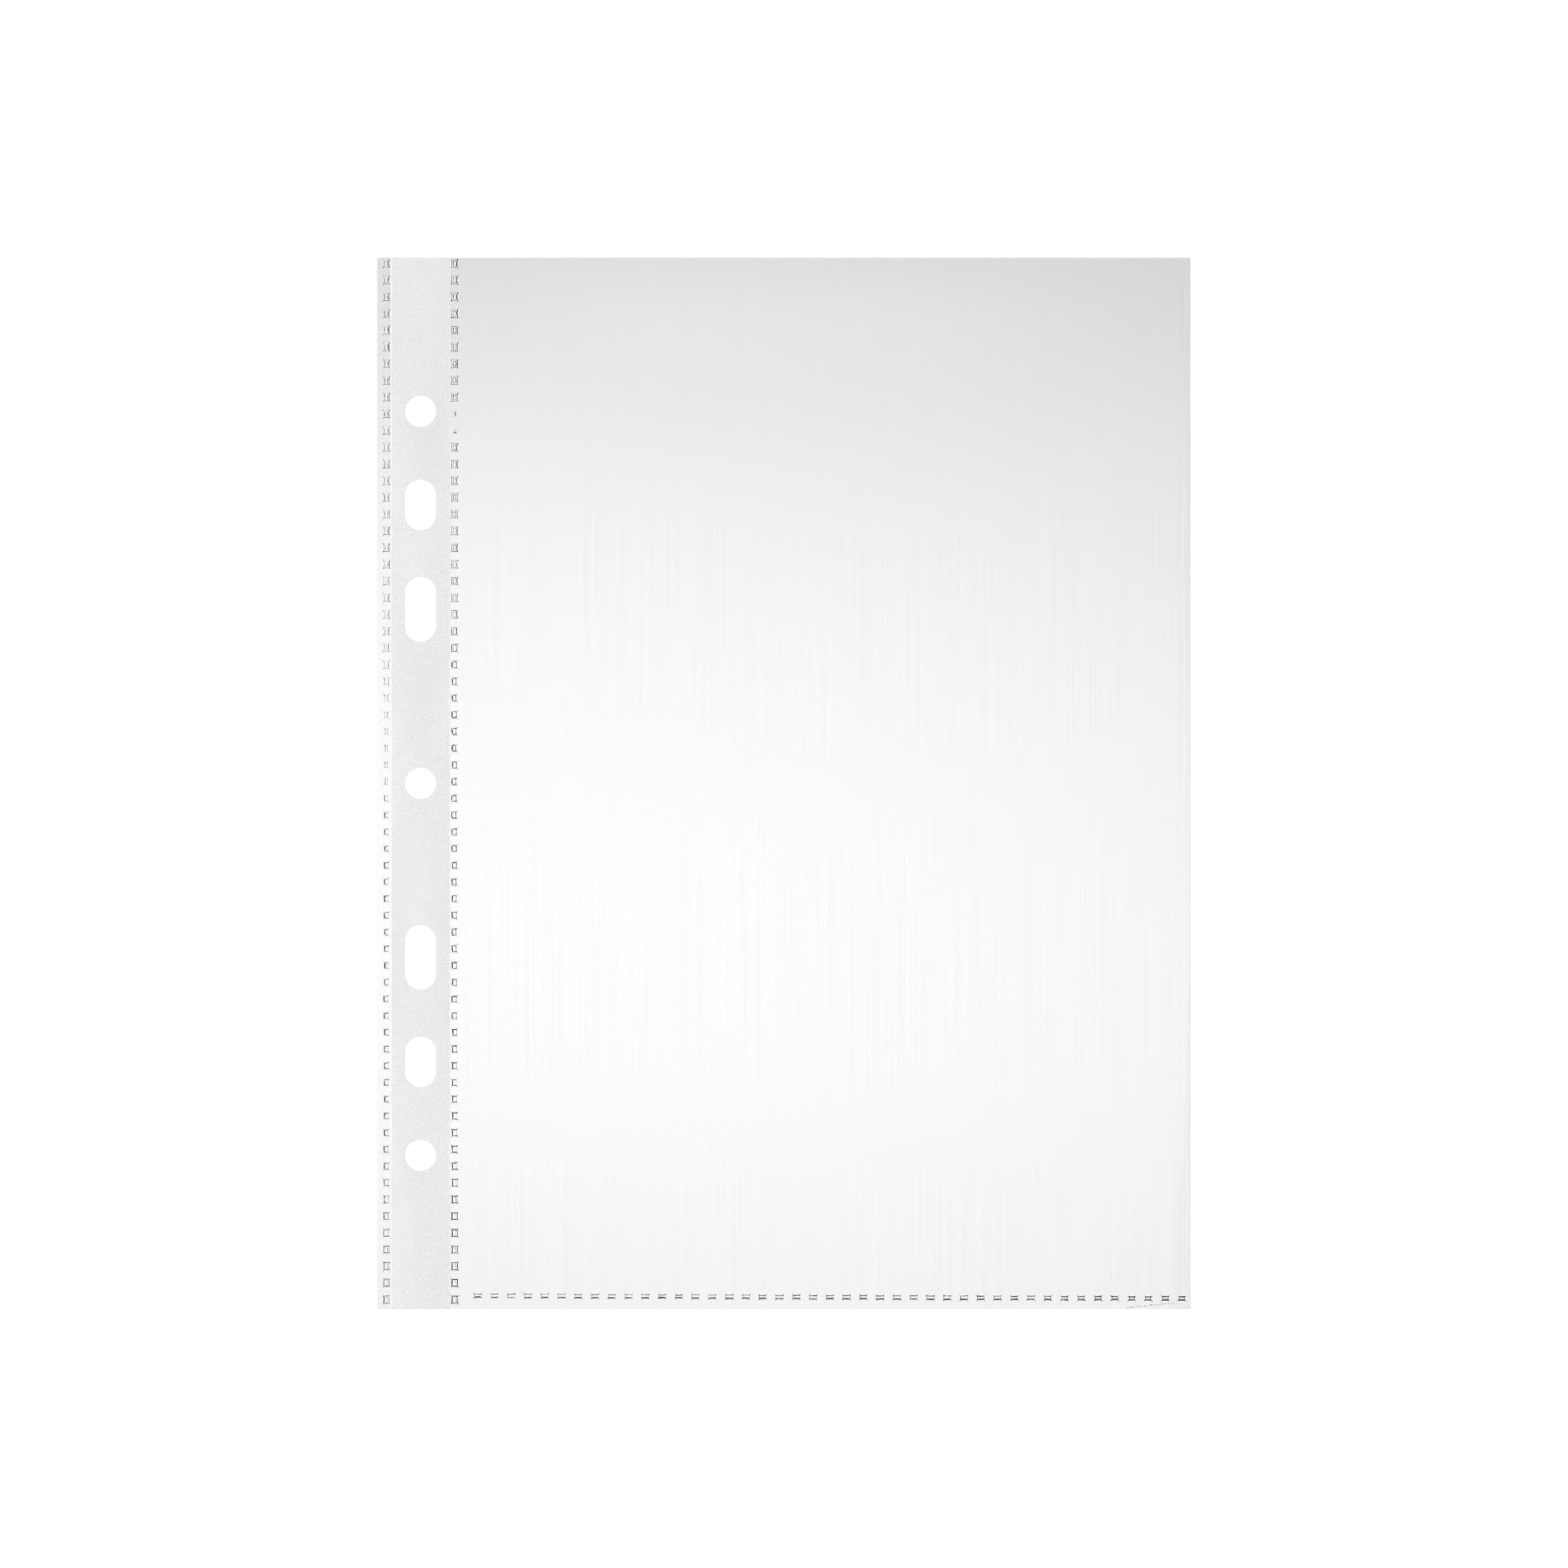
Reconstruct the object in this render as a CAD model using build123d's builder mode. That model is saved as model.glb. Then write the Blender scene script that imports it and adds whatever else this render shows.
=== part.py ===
from build123d import *
import math
import os

# A punched pocket for one A5 sheet, lying flat and closed. One clear film is folded along the
# right side, welded along the bottom and beside a punched margin on the left, and open at the top.
# X runs across the sheet, Y up to the mouth and Z out of the sheet. The origin is under its middle.

# Sheet
sheet_width = 169.5
sheet_height = 219.0
corner_radius = 0.4

# Layers
film_thickness = 0.12
strip_thickness = 0.2
pocket_gap = 0.1  # between the two films of the empty pocket

# Weld rows beside the margin strip
edge_land = 1.1  # film outside the outer row
weld_width = 1.7
weld_length = 2.0
weld_pitch = 3.482
weld_end_land = 0.2  # film above the first weld, at the mouth
weld_pit = 0.05  # how far a weld is pressed below the film around it
weld_clearance = 0.25  # from a weld to the strip

# Margin strip and the band where the leaf bends beside it
strip_width = 12.0
drape_run = 0.15  # length of the film's step up onto the strip
crease_land = 0.4
crease_width = 1.2
crease_step_run = 0.6  # length of the film's step up to the pocket

# Punching: places along Y, counted from the middle hole
hole_diameter = 6.5
round_hole_reach = 77.5
inner_slot_reach = 36.25
inner_slot_length = 13.5
outer_slot_reach = 58.0
outer_slot_length = 10.5

# Bottom weld row and the hem that it holds down
bottom_weld_width = 1.9
bottom_weld_height = 1.25
bottom_weld_pitch = 3.493
bottom_weld_inset = 2.45  # middle of the row above the bottom edge
bottom_row_fall = 0.7  # how much lower the row ends at the fold than it starts
bottom_weld_end_land = 0.1  # from the last weld to the fold band
hem_land = 0.2  # film above the row's high end that stays down
hem_step_run = 0.4  # length of the film's step up to the pocket
hem_lip = 0.25

# Folded side and the free front sheet
fold_band = 0.8
flex_clearance = 0.1  # between the front sheet and the film that it bends away from

# Levels
strip_base = film_thickness
margin_front = strip_base + strip_thickness
margin_top = margin_front + film_thickness
pocket_front = film_thickness + pocket_gap
pocket_top = pocket_front + film_thickness
weld_top = 2 * film_thickness - weld_pit
cut_height = 2 * max(margin_top, pocket_top)

# Places across the sheet, from the binding edge to the fold
left = -sheet_width / 2
right = sheet_width / 2
outer_weld_x = left + edge_land + weld_width / 2
strip_left = outer_weld_x + weld_width / 2 + weld_clearance
strip_right = strip_left + strip_width
hole_x = (strip_left + strip_right) / 2
inner_weld_x = strip_right + weld_clearance + weld_width / 2
crease_left = inner_weld_x + weld_width / 2 + crease_land
crease_right = crease_left + crease_width
fold_left = right - fold_band
margin_width = crease_left - left

# Places up the sheet, from the hem to the mouth
bottom = -sheet_height / 2
top = sheet_height / 2
bottom_row_high = bottom + bottom_weld_inset + bottom_row_fall / 2
hem_flat_top = bottom_row_high + bottom_weld_height / 2 + hem_land
hem_top = hem_flat_top + hem_step_run + hem_lip

# Weld counts that fill the rows
side_row_length = sheet_height - 2 * weld_end_land - weld_length
side_weld_count = int(side_row_length // weld_pitch) + 1
side_row_y = top - weld_end_land - weld_length / 2 - (side_weld_count - 1) * weld_pitch / 2
bottom_row_length = fold_left - crease_right - 2 * bottom_weld_end_land - bottom_weld_width
bottom_weld_count = int(bottom_row_length // bottom_weld_pitch) + 1
bottom_row_end = fold_left - bottom_weld_end_land - bottom_weld_width / 2
bottom_row_x = bottom_row_end - (bottom_weld_count - 1) * bottom_weld_pitch / 2
bottom_row_y = bottom + bottom_weld_inset
bottom_row_tilt = -math.degrees(math.atan2(bottom_row_fall, bottom_row_length))

# Outline of every punched hole, the same through both films and the strip
with BuildSketch() as punching:
    with Locations((hole_x, round_hole_reach), (hole_x, 0), (hole_x, -round_hole_reach)):
        Circle(hole_diameter / 2)
    with Locations((hole_x, inner_slot_reach), (hole_x, -inner_slot_reach)):
        SlotOverall(inner_slot_length, hole_diameter, rotation=90)
    with Locations((hole_x, outer_slot_reach), (hole_x, -outer_slot_reach)):
        SlotOverall(outer_slot_length, hole_diameter, rotation=90)

# Outlines of the welds, one sketch for each row
with BuildSketch() as outer_spots:
    with Locations((outer_weld_x, side_row_y)):
        with GridLocations(0, weld_pitch, 1, side_weld_count):
            Rectangle(weld_width, weld_length)

with BuildSketch() as inner_spots:
    with Locations((inner_weld_x, side_row_y)):
        with GridLocations(0, weld_pitch, 1, side_weld_count):
            Rectangle(weld_width, weld_length)

with BuildSketch() as bottom_spots:
    with Locations(Location((bottom_row_x, bottom_row_y, 0), (0, 0, bottom_row_tilt))):
        with GridLocations(bottom_weld_pitch, 0, bottom_weld_count, 1):
            Rectangle(bottom_weld_width, bottom_weld_height)

# Back film of the binding margin
with BuildPart() as back_margin:
    with BuildSketch():
        with Locations((left, bottom)):
            Rectangle(margin_width, sheet_height, align=Align.MIN)
        fillet(vertices().group_by(Axis.X)[0], corner_radius)
    extrude(amount=film_thickness)
    extrude(punching.sketch, amount=cut_height, mode=Mode.SUBTRACT)
    extrude(outer_spots.sketch, amount=cut_height, mode=Mode.SUBTRACT)
    extrude(inner_spots.sketch, amount=cut_height, mode=Mode.SUBTRACT)
back_margin.part.label = "back_margin"

# Milky strip that stiffens the margin, caught between the films
with BuildPart() as reinforcing_strip:
    with BuildSketch(Plane.XY.offset(strip_base)):
        with Locations((strip_left, bottom)):
            Rectangle(strip_width, sheet_height, align=Align.MIN)
    extrude(amount=strip_thickness)
    extrude(punching.sketch, amount=cut_height, mode=Mode.SUBTRACT)
reinforcing_strip.part.label = "reinforcing_strip"

# Front film of the binding margin, draped over the strip and down to the welds on each side
with BuildPart() as front_margin:
    with BuildSketch(Plane.XZ):
        with BuildLine():
            Polyline(
                (left, film_thickness),
                (strip_left - drape_run, film_thickness),
                (strip_left, margin_front),
                (strip_right, margin_front),
                (strip_right + drape_run, film_thickness),
                (crease_left, film_thickness),
            )
            offset(amount=film_thickness, side=Side.LEFT, kind=Kind.INTERSECTION)
        make_face()
    extrude(amount=sheet_height / 2, both=True)
    fillet(edges().filter_by(Axis.Z).group_by(Axis.X)[0], corner_radius)
    extrude(punching.sketch, amount=cut_height, mode=Mode.SUBTRACT)
    extrude(outer_spots.sketch, amount=cut_height, mode=Mode.SUBTRACT)
    extrude(inner_spots.sketch, amount=cut_height, mode=Mode.SUBTRACT)
front_margin.part.label = "front_margin"

# Fused spots that join the two films, flush below and pressed in above
with BuildPart() as outer_welds:
    extrude(outer_spots.sketch, amount=weld_top)
outer_welds.part.label = "outer_welds"

with BuildPart() as inner_welds:
    extrude(inner_spots.sketch, amount=weld_top)
inner_welds.part.label = "inner_welds"

with BuildPart() as bottom_welds:
    extrude(bottom_spots.sketch, amount=weld_top)
bottom_welds.part.label = "bottom_welds"

# Bands of film that bend when the leaf turns on its margin
with BuildPart() as back_crease:
    with BuildSketch():
        with Locations((crease_left, bottom)):
            Rectangle(crease_width, sheet_height, align=Align.MIN)
    extrude(amount=film_thickness)
back_crease.part.label = "back_crease"

crease_step = (crease_width - crease_step_run) / 2
with BuildPart() as front_crease:
    with BuildSketch(Plane.XZ):
        with BuildLine():
            Polyline(
                (crease_left, film_thickness),
                (crease_left + crease_step, film_thickness),
                (crease_right - crease_step, pocket_front),
                (crease_right, pocket_front),
            )
            offset(amount=film_thickness, side=Side.LEFT, kind=Kind.INTERSECTION)
        make_face()
    extrude(amount=sheet_height / 2, both=True)
front_crease.part.label = "front_crease"

# Back film of the pocket
with BuildPart() as back_sheet:
    with BuildSketch():
        with Locations((crease_right, bottom)):
            Rectangle(fold_left - crease_right, sheet_height, align=Align.MIN)
    extrude(amount=film_thickness)
    extrude(bottom_spots.sketch, amount=cut_height, mode=Mode.SUBTRACT)
back_sheet.part.label = "back_sheet"

# Film turned over on itself along the right side
fold_bend = right - pocket_top / 2
with BuildPart() as side_fold:
    with BuildSketch(Plane.XZ):
        with BuildLine():
            under = Line((fold_left, 0), (fold_bend, 0))
            bend = ThreePointArc(under @ 1, (right, pocket_top / 2), (fold_bend, pocket_top))
            Line(bend @ 1, (fold_left, pocket_top))
            offset(amount=film_thickness, side=Side.LEFT, kind=Kind.INTERSECTION)
        make_face()
    extrude(amount=sheet_height / 2, both=True)
side_fold.part.label = "side_fold"

# Front film along the bottom, held down by the welds and stepped up to the pocket
with BuildPart() as front_hem:
    with BuildSketch(Plane.YZ.offset((crease_right + fold_left) / 2)):
        with BuildLine():
            Polyline(
                (bottom, film_thickness),
                (hem_flat_top, film_thickness),
                (hem_flat_top + hem_step_run, pocket_front),
                (hem_top, pocket_front),
            )
            offset(amount=film_thickness, side=Side.LEFT, kind=Kind.INTERSECTION)
        make_face()
    extrude(amount=(fold_left - crease_right) / 2, both=True)
    extrude(bottom_spots.sketch, amount=cut_height, mode=Mode.SUBTRACT)
front_hem.part.label = "front_hem"

# Front film of the pocket, free to lift at the mouth
with BuildPart() as front_sheet:
    with BuildSketch(Plane.XY.offset(pocket_front)):
        with Locations((crease_right + flex_clearance, hem_top + flex_clearance)):
            Rectangle(
                fold_left - crease_right - 2 * flex_clearance,
                top - hem_top - flex_clearance,
                align=Align.MIN,
            )
    extrude(amount=film_thickness)
front_sheet.part.label = "front_sheet"

# One file for each piece
os.makedirs("parts", exist_ok=True)
export_step(back_margin.part, "parts/back_margin.step")
export_step(reinforcing_strip.part, "parts/reinforcing_strip.step")
export_step(front_margin.part, "parts/front_margin.step")
export_step(outer_welds.part, "parts/outer_welds.step")
export_step(inner_welds.part, "parts/inner_welds.step")
export_step(bottom_welds.part, "parts/bottom_welds.step")
export_step(back_crease.part, "parts/back_crease.step")
export_step(front_crease.part, "parts/front_crease.step")
export_step(back_sheet.part, "parts/back_sheet.step")
export_step(side_fold.part, "parts/side_fold.step")
export_step(front_hem.part, "parts/front_hem.step")
export_step(front_sheet.part, "parts/front_sheet.step")
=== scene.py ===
import bisect
import math
import random

import bmesh
import bpy
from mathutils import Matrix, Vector
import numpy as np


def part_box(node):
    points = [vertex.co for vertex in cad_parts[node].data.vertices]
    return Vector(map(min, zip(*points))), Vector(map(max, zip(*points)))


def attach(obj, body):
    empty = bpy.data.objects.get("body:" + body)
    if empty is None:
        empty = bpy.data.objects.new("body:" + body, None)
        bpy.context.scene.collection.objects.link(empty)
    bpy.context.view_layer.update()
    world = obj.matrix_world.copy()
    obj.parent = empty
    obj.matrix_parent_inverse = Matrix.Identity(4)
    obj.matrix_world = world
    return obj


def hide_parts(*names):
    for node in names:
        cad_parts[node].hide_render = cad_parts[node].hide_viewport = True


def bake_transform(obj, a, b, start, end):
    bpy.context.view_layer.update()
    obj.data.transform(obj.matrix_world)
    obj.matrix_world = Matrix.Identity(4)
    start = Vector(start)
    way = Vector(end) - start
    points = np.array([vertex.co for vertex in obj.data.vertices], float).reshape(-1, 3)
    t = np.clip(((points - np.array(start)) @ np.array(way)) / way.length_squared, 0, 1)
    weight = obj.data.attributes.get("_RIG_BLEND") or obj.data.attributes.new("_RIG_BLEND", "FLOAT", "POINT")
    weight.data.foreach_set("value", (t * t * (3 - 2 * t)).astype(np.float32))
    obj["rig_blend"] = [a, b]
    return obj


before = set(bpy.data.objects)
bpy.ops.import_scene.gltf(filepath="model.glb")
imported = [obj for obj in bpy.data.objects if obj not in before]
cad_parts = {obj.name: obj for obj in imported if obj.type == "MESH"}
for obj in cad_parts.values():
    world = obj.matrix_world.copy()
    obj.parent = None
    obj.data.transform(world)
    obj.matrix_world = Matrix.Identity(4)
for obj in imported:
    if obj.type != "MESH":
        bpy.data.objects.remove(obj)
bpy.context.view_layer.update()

# A clear punched pocket lying flat, seen square from the front. Everything is in metres, and places
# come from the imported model: X runs across the sheet, Y up to the mouth and Z out of the sheet.
mm = 0.001
random.seed(7)

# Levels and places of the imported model
margin_low, margin_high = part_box("front_margin")
strip_low, strip_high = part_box("reinforcing_strip")
crease_low, crease_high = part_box("front_crease")
sheet_low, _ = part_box("front_sheet")
_, hem_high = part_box("front_hem")
fold_low, fold_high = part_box("side_fold")
back_low, back_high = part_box("back_sheet")
film = back_high.z - back_low.z
left, right = margin_low.x, fold_high.x
bottom, top = margin_low.y, margin_high.y
strip_left, strip_right = strip_low.x, strip_high.x
crease_left, crease_right = crease_low.x, crease_high.x
fold_left = fold_low.x
land_level = margin_low.z
strip_level = strip_high.z
pocket_level = sheet_low.z
land_top = land_level + film
fold_radius = fold_high.z / 2
fold_bend = right - fold_radius
corner_radius = 0.4 * mm
drape_run = 0.15 * mm
contact_gap = 0.015 * mm  # air left between two faces that lie on each other

# Punching, as places up the margin from its middle
hole_x = (strip_left + strip_right) / 2
hole_radius = 3.25 * mm
round_hole_reach = 77.5 * mm
slot_sizes = ((36.25 * mm, 13.5 * mm), (58.0 * mm, 10.5 * mm))  # reach and length

# Weld rows
weld_pitch = 3.482 * mm
weld_length = 2.0 * mm
bottom_weld_width = 1.9 * mm
bottom_weld_height = 1.25 * mm
bottom_spot_height = 1.5 * mm  # the melted film reaches a little past the weld
bottom_weld_pitch = 3.493 * mm
weld_pit = 0.05 * mm

# Shape of the film
widest_cell = 5.0 * mm
margin_cell = 3.0 * mm
narrow_cell = 2.0 * mm
lip_lift = 0.25 * mm  # how far the front film's free edge stands off the back film
lip_lift_reach = 30.0 * mm
lip_middle = 20.0 * mm  # how far to each side of the middle the edge lifts fully
rise_run = 40.0 * mm  # over which the front film leaves the back film beside a weld row
hem_land = 0.1 * mm  # film above the bottom row that stays down
slope_fade = 3.0 * mm  # film above the bottom row over which the row's slope dies away
corner_shares = (0.1, 0.3, 0.6, 1.0)  # places up a rounded corner
drape_steps = 6
crease_steps = 10
fold_steps = 10
rise_steps = 16


def smooth(value, start, end):
    """0 before start, 1 after end, with a soft ramp between."""
    t = min(1.0, max(0.0, (value - start) / (end - start)))
    return t * t * (3 - 2 * t)


def mix(a, b, t):
    return a + (b - a) * t


# Meshes

def new_object(name, bm):
    bmesh.ops.recalc_face_normals(bm, faces=bm.faces)
    mesh = bpy.data.meshes.new(name)
    bm.to_mesh(mesh)
    bm.free()
    obj = bpy.data.objects.new(name, mesh)
    bpy.context.scene.collection.objects.link(obj)
    return obj


def shade(obj, sharp_angle=math.radians(35)):
    """Smooth shading that stays crisp at the film's cut edges."""
    bm = bmesh.new()
    bm.from_mesh(obj.data)
    for face in bm.faces:
        face.smooth = True
    for edge in bm.edges:
        edge.smooth = edge.is_manifold and edge.calc_face_angle(0) < sharp_angle
    bm.to_mesh(obj.data)
    bm.free()


def stations(marks, widest):
    """Sorted places that hold every mark, with no step wider than widest."""
    marks = sorted({round(mark, 7) for mark in marks})
    slack = 0.001  # so that rounding alone doesn't split a step
    places = []
    for start, end in zip(marks, marks[1:]):
        parts = max(1, math.ceil((end - start) / widest - slack))
        places += [start + (end - start) * k / parts for k in range(parts)]
    return places + [marks[-1]]


def nearest(places, value):
    k = bisect.bisect_left(places, value)
    near = [i for i in (k - 1, k) if 0 <= i < len(places)]
    return min(near, key=lambda i: abs(places[i] - value))


def film_solid(name, columns, rows, surface, windows, thickness=film):
    """A closed sheet of film over a grid, with windows left out. surface gives a point of one face of
    the film and the way through it."""
    gone = set()
    for low_u, high_u, low_v, high_v in windows:
        for i in range(nearest(columns, low_u), nearest(columns, high_u)):
            for j in range(nearest(rows, low_v), nearest(rows, high_v)):
                gone.add((i, j))
    bm = bmesh.new()
    made = {}

    def corner(i, j):
        if (i, j) not in made:
            point, way = surface(columns[i], rows[j])
            made[i, j] = (bm.verts.new(point), bm.verts.new(point + way * thickness))
        return made[i, j]

    def solid(i, j):
        return 0 <= i < len(columns) - 1 and 0 <= j < len(rows) - 1 and (i, j) not in gone

    for i in range(len(columns) - 1):
        for j in range(len(rows) - 1):
            if not solid(i, j):
                continue
            ring = [corner(i, j), corner(i + 1, j), corner(i + 1, j + 1), corner(i, j + 1)]
            bm.faces.new([pair[0] for pair in reversed(ring)])
            bm.faces.new([pair[1] for pair in ring])
            for side, (di, dj) in enumerate(((0, -1), (1, 0), (0, 1), (-1, 0))):
                if not solid(i + di, j + dj):
                    a, b = ring[side], ring[(side + 1) % 4]
                    bm.faces.new((a[0], b[0], b[1], a[1]))
    return new_object(name, bm)


def punch_tool():
    """One solid for each hole through the margin."""
    bm = bmesh.new()
    slots = [(0.0, 2 * hole_radius)]
    for reach, length in ((round_hole_reach, 2 * hole_radius), *slot_sizes):
        slots += [(reach, length), (-reach, length)]
    arc_steps = 24
    below, above = -1 * mm, 2 * mm
    for y, length in slots:
        run = length / 2 - hole_radius
        outline = []
        for end in (1, -1):
            for k in range(arc_steps + 1):
                turn = math.pi * k / arc_steps + (0 if end > 0 else math.pi)
                if run == 0 and k == arc_steps:
                    continue
                outline.append((hole_x + hole_radius * math.cos(turn),
                                y + end * run + hole_radius * math.sin(turn)))
        lower = [bm.verts.new((px, py, below)) for px, py in outline]
        upper = [bm.verts.new((px, py, above)) for px, py in outline]
        bm.faces.new(lower)
        bm.faces.new(upper)
        for k in range(len(outline)):
            n = (k + 1) % len(outline)
            bm.faces.new((lower[k], lower[n], upper[n], upper[k]))
    return new_object("punch_tool", bm)


def punch(obj, tool):
    cut = obj.modifiers.new("punch", "BOOLEAN")
    cut.operation = "DIFFERENCE"
    cut.solver = "EXACT"
    cut.object = tool
    graph = bpy.context.evaluated_depsgraph_get()
    mesh = bpy.data.meshes.new_from_object(obj.evaluated_get(graph))
    obj.modifiers.clear()
    obj.data = mesh


# Places of the welds

class Spot:
    """One weld: its middle, its size, and how far along its row it lies, from 0 to 1."""

    def __init__(self, x, y, width, height, along):
        self.x, self.y, self.width, self.height, self.along = x, y, width, height, along

    def window(self):
        half_width, half_height = self.width / 2, self.height / 2
        return (self.x - half_width, self.x + half_width, self.y - half_height, self.y + half_height)


def side_row(node):
    """Spots of a row beside the strip, from the mouth down."""
    low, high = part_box(node)
    count = round((high.y - low.y - weld_length) / weld_pitch) + 1
    x = (low.x + high.x) / 2
    start = high.y - weld_length / 2
    return [Spot(x, start - k * weld_pitch, high.x - low.x, weld_length, k / (count - 1))
            for k in range(count)]


row_low, row_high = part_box("bottom_welds")
row_left = row_low.x + bottom_weld_width / 2
row_right = row_high.x - bottom_weld_width / 2
row_middle_x = (row_left + row_right) / 2
row_middle_y = (row_low.y + row_high.y) / 2
row_slope = -(row_high.y - row_low.y - bottom_weld_height) / (row_right - row_left)
row_band = (row_middle_y - bottom_spot_height / 2, row_middle_y + bottom_spot_height / 2)


def bottom_row():
    """Spots of the row along the bottom, from the margin to the fold, as if it ran level."""
    count = round((row_right - row_left) / bottom_weld_pitch) + 1
    return [Spot(row_left + k * bottom_weld_pitch, row_middle_y, bottom_weld_width, bottom_spot_height,
                 k / (count - 1)) for k in range(count)]


def row_shift(x, y):
    """How far the bottom row's slope moves a place of the film, dying away above and below the row."""
    near = smooth(y, bottom, row_band[0]) * (1 - smooth(y, row_band[1], row_band[1] + slope_fade))
    return row_slope * (x - row_middle_x) * near * smooth(x, crease_left, crease_right)


outer_spots = side_row("outer_welds")
inner_spots = side_row("inner_welds")
bottom_spots = bottom_row()


# Film

def left_edge(y):
    """The binding edge, rounded at its two corners."""
    inward = corner_radius - min(top - y, y - bottom)
    if inward <= 0:
        return left
    return left + corner_radius - math.sqrt(max(0.0, corner_radius ** 2 - inward ** 2))


def pocket_gap(x, y):
    """How far the front film stands off the back film: not at all at the welds, then gently more."""
    beside_margin = smooth(x, crease_left, crease_left + rise_run)
    above_hem = smooth(y, row_high.y + hem_land, row_high.y + rise_run)
    near_fold = smooth(x, fold_left - rise_run, fold_left)
    return (pocket_level - land_level) * max(beside_margin * above_hem, near_fold)


def strip_rise(x):
    """The front film's climb over the strip."""
    onto = smooth(x, strip_left - drape_run, strip_left)
    off = smooth(x, strip_right, strip_right + drape_run)
    return (strip_level - land_level) * (onto - off)


def margin_surface(x, y):
    sample = 0.005 * mm
    slope = (strip_rise(x + sample) - strip_rise(x - sample)) / (2 * sample)
    way = Vector((-slope, 0, 1)).normalized()
    z = land_level + contact_gap + strip_rise(x) + pocket_gap(x, y)
    return Vector((max(x, left_edge(y)), y, z)), way


def pocket_surface(x, y):
    across = smooth(x, crease_right, -lip_middle) * (1 - smooth(x, lip_middle, fold_left))
    lift = lip_lift * across * smooth(y, top - lip_lift_reach, top) ** 1.5
    z = land_level + contact_gap + pocket_gap(x, y) + lift
    return Vector((x, y + row_shift(x, y), z)), Vector((0, 0, 1))


def back_surface(along, y):
    """The back film, then the turn of the fold, then back along the front."""
    arc_length = math.pi * fold_radius
    if along <= fold_bend:
        x = max(along, left_edge(y))
        return Vector((x, y + row_shift(x, y), 0)), Vector((0, 0, 1))
    turn = min((along - fold_bend) / fold_radius, math.pi)
    way = Vector((-math.sin(turn), 0, math.cos(turn)))
    past = max(0.0, along - fold_bend - arc_length)
    return Vector((fold_bend - past, y, fold_radius)) - way * fold_radius, way


side_marks = [bottom, top]
for spot in outer_spots:
    side_marks += spot.window()[2:]
for share in corner_shares:
    side_marks += [bottom + share * corner_radius, top - share * corner_radius]
highlight_spans = ((strip_left - 0.22 * mm, strip_left + 0.03 * mm),  # where the film climbs the strip's edges, painted with a white highlight
            (strip_right, strip_right + 0.16 * mm))
drape_marks = [*highlight_spans[0], *highlight_spans[1]]
for start in (strip_left - drape_run, strip_right):
    drape_marks += [start + drape_run * k / drape_steps for k in range(drape_steps + 1)]
crease_marks = [mix(crease_left, crease_right, k / crease_steps) for k in range(crease_steps + 1)]
weld_marks = outer_spots[0].window()[:2] + inner_spots[0].window()[:2]
bottom_marks = []
for spot in bottom_spots:
    bottom_marks += spot.window()[:2]
hem_marks = [bottom, *row_band, row_high.y + hem_land, hem_high.y]
fold_end = fold_bend + math.pi * fold_radius + fold_bend - fold_left

margin_windows = [spot.window() for spot in outer_spots + inner_spots]
bottom_windows = [spot.window() for spot in bottom_spots]


def make_front_margin():
    columns = stations([left, *weld_marks, *drape_marks, *crease_marks], margin_cell)
    rows = stations(side_marks, widest_cell)
    return film_solid("front_margin_film", columns, rows, margin_surface, margin_windows)


def make_back():
    arc = [fold_bend + math.pi * fold_radius * k / fold_steps for k in range(fold_steps + 1)]
    columns = stations([left, *weld_marks, *crease_marks, *bottom_marks, *arc, fold_end], widest_cell)
    rows = stations(side_marks + hem_marks, widest_cell)
    return film_solid("back_film", columns, rows, back_surface, margin_windows + bottom_windows)


def make_pocket():
    columns = stations([crease_right, fold_left, *bottom_marks], narrow_cell)
    rise = [row_high.y + rise_run * k / rise_steps for k in range(rise_steps + 1)]
    rows = stations([*hem_marks, *rise, top - lip_lift_reach, top], widest_cell)
    return film_solid("front_pocket_film", columns, rows, pocket_surface, bottom_windows)


def make_strip():
    """The milky strip, with a hair of air above and below it."""
    rows = stations([bottom, top], widest_cell)
    columns = stations([strip_left, strip_right], narrow_cell)

    def surface(x, y):
        return Vector((x, y, strip_low.z + contact_gap)), Vector((0, 0, 1))

    return film_solid("milky_reinforcing_strip", columns, rows, surface, [],
                      strip_high.z - strip_low.z - contact_gap)


# Welds

tone_spread = 0.2  # how much the tones of one weld differ from those of the next
second_spread = 0.3
inset_spread = 0.15
bow_spread = 0.2
point_spread = 0.3  # how much the tone changes from point to point
thinnest_stroke = 0.08  # in millimetres, as a style's strokes are
side_steps = 10  # points along each side of a spot
jog = 0.06 * mm  # how far a corner may be off its place
rim_height = 0.012 * mm
second_depth = 0.004 * mm
least_room = 0.1 * mm  # inside the walls of the smallest frame
wall_waver = 0.035 * mm  # how far a line's points may be off the line
second_waver = 0.03 * mm
gap_share = 0.2  # share of a line's points where it is nearly broken
gap_tone = 0.3


def jitter(value, spread):
    return value * (1 + random.uniform(-spread, spread))


def uneven_tones(values):
    return [min(1.0, jitter(value, tone_spread)) for value in values]


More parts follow.
